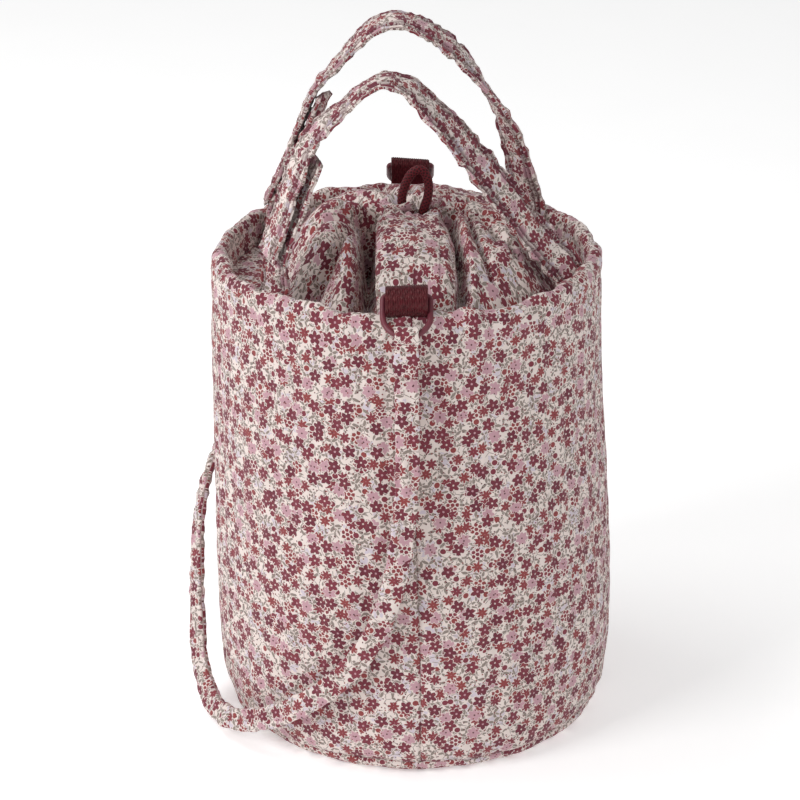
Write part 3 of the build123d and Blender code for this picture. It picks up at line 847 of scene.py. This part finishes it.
# Folds across the collar: points in plan, height (negative for a valley) and half-width.
COLLAR_FOLDS = (
    (((-24.0, 10.0), (-23.5, -30.0), (-24.0, -62.0), (-26.0, -99.0)), -36.0, 4.8),
    (((-27.0, 8.0), (-28.5, -30.0), (-29.5, -62.0), (-31.0, -92.0)), -22.0, 4.8),
    (((24.0, -8.0), (27.0, -40.0), (31.5, -66.0), (32.5, -95.0)), -20.0, 4.0),
    (((-30.0, 4.0), (-43.0, -42.0), (-57.0, -64.0), (-66.0, -84.0)), -15.0, 5.0),
    (((-26.0, 11.0), (-40.0, -12.0), (-64.0, -24.0)), -7.0, 4.5),
    (((34.0, 3.0), (41.0, -44.0), (50.0, -70.0)), -7.0, 2.2),
    (((26.0, 8.0), (52.0, -28.0), (66.0, -48.0)), -5.0, 2.2),
    (((45.0, -4.0), (54.0, -40.0)), -3.0, 3.0),
    (((57.0, 0.0), (74.0, -24.0)), -2.5, 4.5),
    (((-35.0, 0.0), (-39.0, -45.0), (-45.0, -88.0)), 6.0, 5.0),
    (((30.0, 0.0), (34.0, -46.0), (38.0, -72.0), (40.0, -91.0)), 4.0, 3.0),
    (((-50.0, 4.0), (-62.0, -36.0), (-74.0, -54.0)), 6.0, 12.0),
    (((60.0, -14.0), (64.0, -56.0)), 4.0, 14.0),
)
PLEAT_LEFT = -19.0      # the flat pleat on the front
PLEAT_RIGHT = 22.0
PLEAT_RISE = 5.0
PLEAT_SLOPE = 1.2       # width of the step at each edge of the pleat
PLEAT_ROLL = 2.6        # half-width of the cloth that rolls over that edge
PLEAT_OVER = 10.0       # how far it rolls over
CENTRE_SEAM_X = 3.0
GATHERS = 26.0          # small gathers round the neck
COLLAR_COLUMNS = 540
COLLAR_CLOTH = 1.3
TOP_FIRST = (1.0, 1.0, 1.5)     # the print is laid from above on all but the steep faces
BOX_SHIFT = 0.5         # in metres, so that the print on steep faces isn't the one on top again
LIP = (                 # radius and height from the gather up to the frilled lip and down inside
    (16.4, 348.0),
    (18.2, 351.5),
    (18.6, 354.0),
    (17.0, 354.6),
    (14.6, 351.0),
    (11.5, 345.5),
    (9.0, 339.5),
)
LIP_FRILL = (0.2, 0.6, 1.0, 1.0, 0.8, 0.4, 0.0)     # share of the waves that each ring of it has
NOTCH_DEGREES = 291.0   # where the cord comes out over the lip
NOTCH_SPREAD = 0.33     # radians to each side
NOTCH_DEPTH = 14.0      # in the lip
NOTCH_HOLLOW = 6.5      # in the collar below it


def near_line(x, y, points):
    """Distance in plan from each place to a bent line."""
    nearest = np.full(x.shape, 1e9)
    for (ax, ay), (bx, by) in zip(points, points[1:]):
        dx, dy = bx - ax, by - ay
        t = np.clip(((x - ax) * dx + (y - ay) * dy) / (dx * dx + dy * dy), 0.0, 1.0)
        nearest = np.minimum(nearest, np.hypot(x - ax - t * dx, y - ay - t * dy))
    return nearest


def back_folds():
    """Valleys that run out from the gather over the sides and the back."""
    rng = np.random.default_rng(31)
    folds = []
    for degrees in np.arange(-12.0, 196.0, 16.0):
        angle = math.radians(degrees + rng.uniform(-4.0, 4.0))
        bend = math.radians(rng.uniform(-12.0, 12.0))
        reach = rng.uniform(52.0, 92.0)
        radii = np.array((13.0, reach / 2, reach))
        ways = angle + bend * radii / reach
        points = np.column_stack([radii * np.cos(ways), radii * np.sin(ways)])
        folds.append((points, -rng.uniform(4.0, 8.0), rng.uniform(2.4, 4.0)))
    return folds


def collar_height(x, y):
    """Height of the collar above each place, with its folds, its pleat and its small gathers."""
    radius = np.hypot(x, y)
    angle = np.arctan2(y, x)
    midway = ramp(radius, 55.0, 95.0) * (1.0 - ramp(radius, 100.0, COLLAR_RADIUS))
    drop = np.where(x < 0.0, DROP_LEFT, DROP_RIGHT) * np.abs(np.cos(angle)) ** 2 * midway
    z = through(COLLAR_PROFILE, np.clip(radius + drop, GATHER_RADIUS, COLLAR_RADIUS))
    loose = ramp(radius, 13.0, 24.0) * (1.0 - ramp(radius, 92.0, 110.0))
    for points, height, width in COLLAR_FOLDS + tuple(back_folds()):
        z = z + loose * height * hump(near_line(x, y, points), width)
    pleat = ramp(x, PLEAT_LEFT - PLEAT_SLOPE, PLEAT_LEFT)
    pleat = pleat * (1.0 - ramp(x, PLEAT_RIGHT, PLEAT_RIGHT + PLEAT_SLOPE))
    z = z + loose * PLEAT_RISE * pleat * (1.0 - ramp(y, -16.0, -4.0))
    seam = hump(x - CENTRE_SEAM_X, 0.9) * (1.0 - ramp(y, -20.0, -14.0))
    z = z - loose * seam
    z = z + loose * (0.8 * ripples(32, 34.0, x, y) + 0.35 * ripples(33, 11.0, x, y))
    neck = hump(radius - 20.0, 8.0)
    return z + 1.3 * np.sin(GATHERS * angle + 2.0 * ripples(34, 30.0, x, y)) * neck


def box_map(piece):
    """Lay the print on each face from above, the front or the side, whichever it faces most."""
    mesh = piece.data
    corner = np.empty(len(mesh.loops), dtype=int)
    mesh.loops.foreach_get("vertex_index", corner)
    places = np.empty(3 * len(mesh.vertices))
    mesh.vertices.foreach_get("co", places)
    x, y, z = places.reshape(-1, 3)[corner].T
    normals = np.empty(3 * len(mesh.polygons))
    mesh.polygons.foreach_get("normal", normals)
    sizes = np.empty(len(mesh.polygons), dtype=int)
    mesh.polygons.foreach_get("loop_total", sizes)
    facing = np.repeat(np.argmax(np.abs(normals.reshape(-1, 3)) * TOP_FIRST, axis=1), sizes)
    across = np.where(facing == 0, y, x)
    upward = np.where(facing == 2, y, z + BOX_SHIFT)
    mesh.uv_layers["cloth"].data.foreach_set("uv", np.stack([across, upward], axis=1).ravel())


def pleat_roll(x, y, radius):
    """How far sideways the cloth rolls out over the edges of the front pleat."""
    loose = ramp(radius, 18.0, 34.0) * (1.0 - ramp(radius, 90.0, 106.0)) * (1.0 - ramp(y, -24.0, -8.0))
    left = (x - PLEAT_LEFT) / PLEAT_ROLL
    right = (x - PLEAT_RIGHT) / PLEAT_ROLL
    return PLEAT_OVER * loose * (0.6 * right * hump(right) - left * hump(left))


def frilled_lip(angle, aside, notch):
    """Rings of the lip that stands above the gather, wavy, higher in front and notched for the cord."""
    lip = np.array(LIP)
    wave = np.sin(7.0 * angle + 1.1) + 0.6 * np.sin(11.0 * angle + 0.4)
    front = hump(aside, 1.1)
    frill = np.array(LIP_FRILL)[:, None]
    radius = lip[:, 0][:, None] + 1.1 * frill * wave
    raised = np.sin(5.0 * angle + 2.0) + 8.0 * front - 4.5 - NOTCH_DEPTH * notch
    height = lip[:, 1][:, None] + frill * raised
    return np.stack([radius * np.cos(angle), radius * np.sin(angle), height], axis=-1)


def collar():
    """The gathered cloth over the mouth, from the seam inside the rim to the frilled lip."""
    radii = np.concatenate([np.linspace(COLLAR_RADIUS, 96.0, 14), np.linspace(95.0, GATHER_RADIUS, 76)])
    radii = radii[:, None]
    angle = all_round(COLLAR_COLUMNS)[None, :]
    x = radii * np.cos(angle)
    y = radii * np.sin(angle)
    aside = np.abs(angle - math.radians(NOTCH_DEGREES))
    notch = np.clip(1.0 - aside / NOTCH_SPREAD, 0.0, 1.0)
    near_gather = hump(radii - GATHER_RADIUS, 9.0)
    z = collar_height(x, y) - NOTCH_HOLLOW * notch * near_gather
    shift = lean(298.0) * (1.0 - ramp(z, 298.0, 330.0))
    top = np.stack([x + pleat_roll(x, y, radii) + shift, y, z], axis=-1)
    rings = np.concatenate([top, frilled_lip(angle, aside, notch)])
    unmapped = np.zeros((len(rings), COLLAR_COLUMNS + 1, 2))
    piece = loft("gathered_collar", rings, unmapped, PRINT, caps=False)
    cloth = piece.modifiers.new("cloth", "SOLIDIFY")
    cloth.thickness = COLLAR_CLOTH * MM
    cloth.offset = 0.0
    apply_modifiers(piece)
    box_map(piece)
    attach(piece, "root")
    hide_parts("collar_left", "collar_right", "collar_hem")


# ---- handles ----
HANDLE_WIDTH = 28.0
HANDLE_THICK = 5.0
PIVOT_Z = 330.0
ANCHOR_LINE = ((111.0, 300.0), (110.6, 309.0), (108.5, 319.0))  # radius and height of the sewn ends
# Each handle: where its legs turn, in plan, the lean of its left leg, how much of the rim's direction the
# strap and the stub keep at the left, and the strap's line and twist. The line is along the handle and up.
HANDLES = {
    "front": {
        "left": (-86.0, -68.0),
        "right": (94.0, -41.2),
        "lean": 18.0,
        "strap_turn": 0.7,
        "stub_turn": 0.7,
        "arch": (
            (-4.0, 8.0), (-0.4, 18.9), (5.4, 35.0), (13.4, 60.0), (20.6, 78.0), (31.0, 91.5), (45.0, 103.5),
            (58.0, 114.5), (71.0, 119.5), (84.0, 115.0), (98.0, 101.0), (111.0, 87.0), (124.0, 70.5),
            (137.0, 53.0), (150.0, 36.5), (163.0, 18.0), (176.0, 2.0),
        ),
        "twist": ((0.0, 0.0), (0.3, 0.0), (0.42, 2.0), (0.55, 18.0), (0.7, 30.0), (0.88, 28.0), (1.0, 6.0)),
    },
    "rear": {
        "left": (-87.0, 64.0),
        "right": (78.0, 74.5),
        "lean": 21.0,
        "strap_turn": 0.4,
        "stub_turn": 1.1,
        "arch": (
            (-9.0, -1.5), (0.5, 18.9), (8.0, 36.0), (16.5, 58.0), (25.5, 78.0), (39.5, 93.0), (52.5, 108.0),
            (65.0, 118.6), (78.0, 121.6), (92.0, 117.6), (110.0, 106.0), (124.0, 92.0), (137.0, 73.5),
            (148.0, 56.0), (155.0, 38.0), (160.0, 20.0), (163.5, 5.0),
        ),
        "twist": (
            (0.0, 0.0), (0.28, -10.0), (0.4, -6.0), (0.5, 16.0),
            (0.62, 23.0), (0.72, 0.0), (0.84, -16.0), (1.0, 0.0),
        ),
    },
}
STUB_LENGTH = 78.0
STUB_ASIDE = 3.0        # how far the stub shows beside the strap lying on it
STUB_START = 6.0        # the stub begins this far up its leg, where its anchor strip ends
RIGHT_TURN = 0.7        # how much of the rim's direction the straps keep at the right
BAND_STEP = 2.0


def handle_axes(handle):
    """Left pivot, the direction to the right one and the width direction across the arch."""
    left = np.array((*handle["left"], PIVOT_Z))
    right = np.array((*handle["right"], PIVOT_Z))
    along = unit(right - left)
    return left, along, np.array((along[1], -along[0], 0.0))


def anchor_points(pivot):
    angle = math.atan2(pivot[1], pivot[0])
    return [(r * math.cos(angle), r * math.sin(angle), z) for r, z in ANCHOR_LINE]


def arch_points(handle, points):
    left, along, _ = handle_axes(handle)
    return [left + s * along + (0.0, 0.0, h) for s, h in points]


def band_sides(handle, pivot, centre, twist, face_turn, sewn=True):
    """Width direction: along the rim low down if sewn there, and across the arch above it."""
    _, along, across = handle_axes(handle)
    radial = unit(np.array((*pivot, 0.0)))
    tangent = np.cross(radial, (0.0, 0.0, 1.0))
    if np.dot(tangent, across) < 0.0:
        tangent = -tangent
    high = ramp(centre[:, 2], 322.0, 352.0)[:, None] if sewn else 1.0
    side = unit((1.0 - high) * tangent + high * (across + face_turn * tangent))
    turn = np.radians(twist)[:, None]
    forward = unit(np.gradient(centre, axis=0))
    return side * np.cos(turn) + np.cross(forward, side) * np.sin(turn)


def on_handle(piece):
    """Bake the strap's placement into its mesh."""
    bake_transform(piece)


def handle_strap(side, handle, seed):
    """The long strap, sewn in at the right and lying on its stub at the left."""
    points = arch_points(handle, handle["arch"]) + anchor_points(handle["right"])[::-1]
    centre = smooth_path(points, BAND_STEP)
    share = np.linspace(0.0, 1.0, len(centre))
    twist = through(handle["twist"], share)
    pivot = handle["right"]
    right_side = band_sides(handle, pivot, centre, twist, RIGHT_TURN)
    plain = np.zeros(len(centre))
    left_side = band_sides(handle, handle["left"], centre, plain, handle["strap_turn"], sewn=False)
    left_half = (1.0 - ramp(share, 0.2, 0.42))[:, None]
    width_way = unit(left_half * left_side + (1.0 - left_half) * right_side)
    piece = padded_band(side + "_handle_band", centre, width_way, HANDLE_WIDTH, HANDLE_THICK, seed)
    on_handle(piece)
    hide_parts(side + "_handle_strap", side + "_right_anchor")


def stub_line(handle, start, stop):
    lean_angle = math.radians(handle["lean"])
    stations = np.linspace(start, stop, 5)
    return [(d * math.sin(lean_angle) + STUB_ASIDE * d / stop, d * math.cos(lean_angle)) for d in stations]


def handle_stub(side, handle, seed):
    """The short strap at the left that the long one snaps on to, and the strip that holds it."""
    pivot = handle["left"]
    points = anchor_points(pivot) + arch_points(handle, stub_line(handle, STUB_START, STUB_LENGTH))
    centre = smooth_path(points, BAND_STEP)
    sides = band_sides(handle, pivot, centre, np.zeros(len(centre)), handle["stub_turn"])
    split = int(np.argmax(centre[:, 2] > PIVOT_Z + STUB_START))
    strip = padded_band(side + "_anchor_strip", centre[: split + 1], sides[: split + 1], HANDLE_WIDTH,
                        HANDLE_THICK, seed, ends=0.6)
    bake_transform(strip)
    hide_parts(side + "_left_anchor")
    stub = padded_band(side + "_stub_band", centre[split - 1:], sides[split - 1:], HANDLE_WIDTH, HANDLE_THICK,
                       seed, start_v=BAND_STEP * split)
    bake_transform(stub)
    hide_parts(side + "_handle_stub")


# ---- webbing tabs and the strap's sewn ends ----
TAPE_WIDTH = 26.0
TAPE_THICK = 1.6
TAPE_RIBS = 18
RIB_HEIGHT = 0.16
TAPE_STEP = 0.8
# Middle of the folded tape, going up inside the bag, over and down: distance from the axis, height.
FRONT_TAPE = ((112.0, 300.0), (111.6, 312.0), (110.6, 324.0), (110.2, 331.0), (112.0, 335.6), (116.0, 337.4),
              (120.6, 337.2), (124.4, 334.4), (125.9, 329.6), (124.9, 324.4), (122.6, 320.9), (117.6, 324.2),
              (114.8, 322.0), (113.8, 312.0), (113.8, 300.0))
REAR_TAPE = ((112.0, 300.0), (111.9, 316.0), (110.9, 328.0), (109.6, 334.0), (109.9, 338.6), (112.6, 340.8),
             (116.0, 339.4), (117.0, 335.6), (115.4, 330.0), (113.9, 318.0), (113.8, 300.0))


def webbing_tab(name, node, bar_x, line, side, tilt=0.0):
    """Ribbed tape folded over the bar of its D-ring, its right edge lower by tilt."""
    path = smooth_path([(bar_x, side * y, z) for y, z in line], TAPE_STEP)
    along = unit(np.gradient(path, axis=0))
    across = np.array((1.0, 0.0, 0.0))
    face = np.cross(along, across)
    spots = np.linspace(-1.0, 1.0, TAPE_RIBS * 6 + 1)
    ribs = RIB_HEIGHT * np.cos(math.pi * TAPE_RIBS * (spots + 1.0))
    edge = np.sqrt(np.clip(1.0 - np.abs(spots) ** 24, 0.0, 1.0))
    upper = np.column_stack([spots * TAPE_WIDTH / 2, edge * (TAPE_THICK / 2 + ribs)])
    lower = np.column_stack([spots[::-1] * TAPE_WIDTH / 2, -edge[::-1] * (TAPE_THICK / 2 + ribs[::-1])])
    section = np.concatenate([upper, lower[1:-1]])
    rings = path[:, None, :] + section[None, :, :1] * across + section[None, :, 1:] * face[:, None, :]
    raised = ramp(rings[..., 2], 318.0, 332.0)
    rings[..., 2] -= tilt * (rings[..., 0] - bar_x) * raised
    uv = np.empty((len(path), len(section) + 1, 2))
    uv[..., 0] = np.append(section[:, 0], section[0, 0])
    uv[..., 1] = (np.arange(len(path)) * TAPE_STEP)[:, None]
    piece = loft(name, rings, uv, WEBBING)
    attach(piece, "root")
    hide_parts(node)


END_LAYER = 2.1
END_LOOP_R = 3.3        # middle of the cloth round the wire
END_DEEP = 2.4          # how much deeper than round the loop is
END_NECK = 12.0         # below the wire, where the two layers meet
END_FOOT_Z = 286.5
END_STEP = 0.9


def strap_end(name, node, bar_x, wire, back, side):
    """The strap's end folded round the D-ring's wire, which is at the place wire, and sewn to itself."""
    wire = np.array(wire)
    lean_way = unit(np.array(back))
    second = wire + END_DEEP * lean_way
    heading = math.atan2(lean_way[1], lean_way[0])
    low_turn = np.linspace(math.radians(-100.0), heading - math.pi / 2, 7)
    high_turn = np.linspace(heading - math.pi / 2, heading + math.pi / 2, 9)
    last_turn = np.linspace(heading + math.pi / 2, math.radians(280.0), 9)
    line = [wire + (END_LAYER / 2, END_FOOT_Z - wire[1]), wire + (END_LAYER / 2, -END_NECK)]
    for middle, turns in ((wire, low_turn[2:]), (second, high_turn), (wire, last_turn[:-2])):
        line += [middle + END_LOOP_R * np.array((math.cos(t), math.sin(t))) for t in turns]
    line += [wire + (-END_LAYER / 2, -END_NECK), wire + (-END_LAYER / 2, END_FOOT_Z - wire[1])]
    centre = smooth_path([(bar_x, side * y, z) for y, z in line], END_STEP)
    across = np.tile((1.0, 0.0, 0.0), (len(centre), 1))
    piece = padded_band(name, centre, across, STRAP_WIDTH, END_LAYER, seed=51, rows=(), ends=0.5)
    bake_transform(piece)
    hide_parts(node)
    return piece


# ---- the drawcord ----
def drawcord():
    """The braided loop that stands up out of the gather."""
    path = even_points(route_points("drawcord_route", DRAWCORD_ROUTE), DRAWCORD_STEP * MM)
    centre = path / MM
    along = unit(np.gradient(centre, axis=0))
    side = np.tile((0.0, 1.0, 0.0), (len(centre), 1))
    side = unit(side - along * np.sum(side * along, axis=1, keepdims=True))
    other = np.cross(along, side)
    turn = all_round(DRAWCORD_AROUND)[None, :]
    length = (np.arange(len(centre)) * DRAWCORD_STEP)[:, None]
    rising = np.abs(np.sin(STRAND_TURNS * turn + BRAID_ALONG * length))
    falling = np.abs(np.sin(STRAND_TURNS * turn - BRAID_ALONG * length))
    radius = DRAWCORD_RADIUS * (0.70 + 0.36 * np.maximum(rising, falling))
    rings = centre[:, None, :] + (radius * np.cos(turn))[..., None] * side[:, None, :]
    rings = rings + (radius * np.sin(turn))[..., None] * other[:, None, :]
    uv = np.empty((len(centre), DRAWCORD_AROUND + 1, 2))
    uv[..., 0] = np.linspace(0.0, DRAWCORD_MAP, DRAWCORD_AROUND + 1)[None, :]
    uv[..., 1] = length
    piece = loft("braided_drawcord", rings, uv, CORD)
    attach(piece, "drawcord")
    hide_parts("drawcord_loop")


# ---- putting it together ----
FRONT_X = -3.0          # middle of each tab and its ring
REAR_X = 0.0

shoulder_strap([
    strap_end("front_strap_loop", "strap_front_end", FRONT_X, (136.6, 313.0), (-23.4, 17.0), -1),
    strap_end("rear_strap_loop", "strap_rear_end", REAR_X, (133.7, 316.5), (-20.5, 20.5), 1),
])
drawcord()
quilted_wall()
lining()
base()
collar()
for number, (side, handle) in enumerate(HANDLES.items()):
    seed = 60 + 10 * number
    handle_strap(side, handle, seed)
    handle_stub(side, handle, seed + 5)
webbing_tab("front_webbing", "front_tab", FRONT_X, FRONT_TAPE, -1, tilt=-0.05)
webbing_tab("rear_webbing", "rear_tab", REAR_X, REAR_TAPE, 1, tilt=0.07)

NODE_MATERIALS = {
    "drawcord_run": CORD,
    "front_ring": SATIN,
    "rear_ring": SATIN,
    "base_board": BOARD,
    "lining_floor": LINING,
}
for side in HANDLES:
    for part in ("sockets", "socket_backs", "studs", "stud_backs"):
        NODE_MATERIALS[side + "_snap_" + part] = METAL
for node, material in NODE_MATERIALS.items():
    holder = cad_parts[node]
    for spot in holder.material_slots:
        spot.material = material


# ---- floor and light ----
FLOOR_HALF = 6.0
FLOOR_GLOW = 0.36       # a lit paper sweep, so the floor stays paler than its light alone makes it
BAG_MIDDLE = (0.0, 0.0, 0.2)
LIGHTS = (              # name, place, size and power
    ("key", (-1.9, -1.3, 1.6), 1.0, 32.0),
    ("fill", (1.8, -1.2, 1.6), 1.2, 9.0),
    ("top", (-1.1, 0.3, 2.0), 1.2, 14.0),
)
WORLD_LIGHT = 0.42


def floor():
    mesh = bpy.data.meshes.new("floor")
    corners = [(x * FLOOR_HALF, y * FLOOR_HALF, 0.0) for x, y in ((-1, -1), (1, -1), (1, 1), (-1, 1))]
    mesh.from_pydata(corners, [], [(0, 1, 2, 3)])
    paper = Graph("floor_paper", roughness=0.9)
    grain = paper.noise(paper.object_map(), 0.01)
    paper.base_colour(grain, srgb(243, 243, 243), srgb(246, 246, 246))
    paper.shader.inputs["Emission Color"].default_value = (1.0, 1.0, 1.0, 1.0)
    paper.shader.inputs["Emission Strength"].default_value = FLOOR_GLOW
    mesh.materials.append(paper.material)
    piece = bpy.data.objects.new("floor", mesh)
    bpy.context.scene.collection.objects.link(piece)


def area_light(name, place, size, power):
    light = bpy.data.lights.new(name, "AREA")
    light.size = size
    light.energy = power
    holder = bpy.data.objects.new(name, light)
    holder.location = place
    way = Vector(BAG_MIDDLE) - Vector(place)
    holder.rotation_euler = way.to_track_quat("-Z", "Y").to_euler()
    bpy.context.scene.collection.objects.link(holder)


floor()
for light in LIGHTS:
    area_light(*light)
world = bpy.data.worlds.new("studio")
world.use_nodes = True
backdrop = world.node_tree.nodes["Background"]
backdrop.inputs["Color"].default_value = (1.0, 1.0, 1.0, 1.0)
backdrop.inputs["Strength"].default_value = WORLD_LIGHT
bpy.context.scene.world = world
bpy.context.scene.view_settings.view_transform = "Standard"
